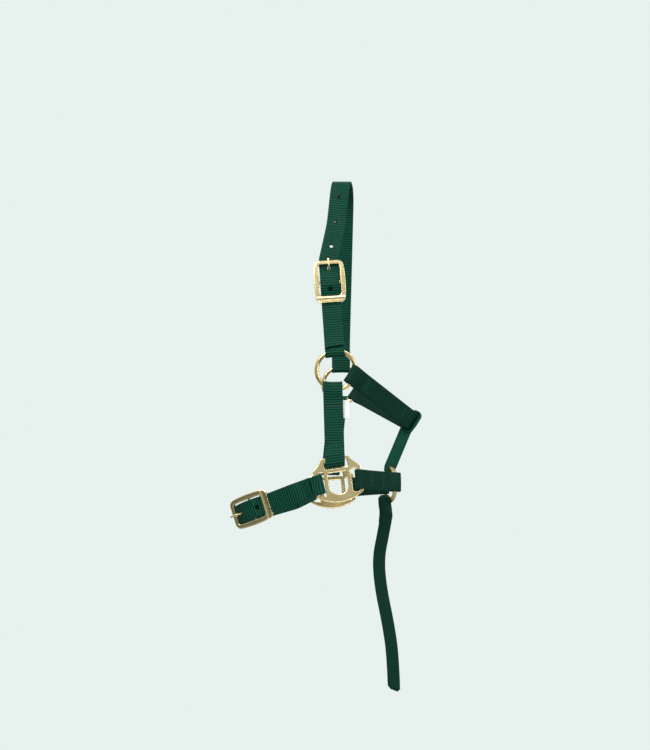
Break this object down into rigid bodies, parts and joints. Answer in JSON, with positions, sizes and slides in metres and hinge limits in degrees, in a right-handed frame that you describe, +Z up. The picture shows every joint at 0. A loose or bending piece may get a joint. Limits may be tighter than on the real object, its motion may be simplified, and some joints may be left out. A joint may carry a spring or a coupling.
{
  "type": "head halter",
  "caption": "Foal head halter of green ribbed webbing with brass-coloured buckles, rings, cast squares and a hanging catch strap.",
  "frame": {"origin": "underside of the crown strap at the top, where a hook or the animal's poll carries it", "axes": "+Z up, -X towards the nose, -Y the near (left) side"},
  "size_m": [0.206, 0.1189, 0.5392],
  "materials": {
    "green_webbing": "matte",
    "brass": "polished",
    "label_cloth": "matte"
  },
  "bodies": {
    "headstall": {"crown_strap": "green_webbing", "crown_chape": "green_webbing", "crown_buckle_frame": "brass"},
    "crown_tongue": {"crown_buckle_tongue": "brass"},
    "near_ring": {"near_cheek_ring": "brass"},
    "far_ring": {"far_cheek_ring": "brass"},
    "lower_halter": {"near_cheek_strap": "green_webbing", "far_cheek_strap": "green_webbing", "near_square": "brass", "far_square": "brass", "throat_strap": "green_webbing", "fid_strap": "green_webbing", "near_chin_strap": "green_webbing", "far_chin_strap": "green_webbing", "nose_strap": "green_webbing", "nose_chape": "green_webbing", "nose_buckle_frame": "brass", "blank_label": "label_cloth"},
    "nose_tongue": {"nose_buckle_tongue": "brass"},
    "chin_ring": {"chin_ring": "brass"},
    "catch": {"catch_strap_loop": "green_webbing", "catch_strap": "green_webbing"}
  },
  "joints": [
    {"name": "crown_tongue_lift", "type": "hinge", "parent": "headstall", "child": "crown_tongue", "pos_m": [-0.01462, -0.04548, -0.1177], "axis": [0.9977, 0, 0.0681], "range_deg": [0, 7]},
    {"name": "near_ring_spin", "type": "hinge", "parent": "headstall", "child": "near_ring", "pos_m": [-0.0083, -0.05, -0.2112], "axis": [0.0678, 0.9977, 0], "continuous": true},
    {"name": "far_ring_spin", "type": "hinge", "parent": "headstall", "child": "far_ring", "pos_m": [-0.0015, 0.05, -0.2112], "axis": [0.0678, 0.9977, 0], "continuous": true},
    {"name": "halter_swing", "type": "hinge", "parent": "headstall", "child": "lower_halter", "pos_m": [-0.0083, -0.05, -0.2112], "axis": [0.0678, 0.9977, 0], "range_deg": [-20, 30]},
    {"name": "nose_tongue_lift", "type": "hinge", "parent": "lower_halter", "child": "nose_tongue", "pos_m": [-0.09451, -0.021, -0.35248], "axis": [-0.314, 0, 0.9494], "range_deg": [0, 7]},
    {"name": "chin_ring_spin", "type": "hinge", "parent": "lower_halter", "child": "chin_ring", "pos_m": [0.0485, 0, -0.325], "axis": [0.9511, 0.309, 0], "continuous": true},
    {"name": "catch_strap_swing", "type": "hinge", "parent": "lower_halter", "child": "catch", "pos_m": [0.0485, 0, -0.34275], "axis": [-0.309, 0.9511, 0], "range_deg": [-70, 70]}
  ]
}
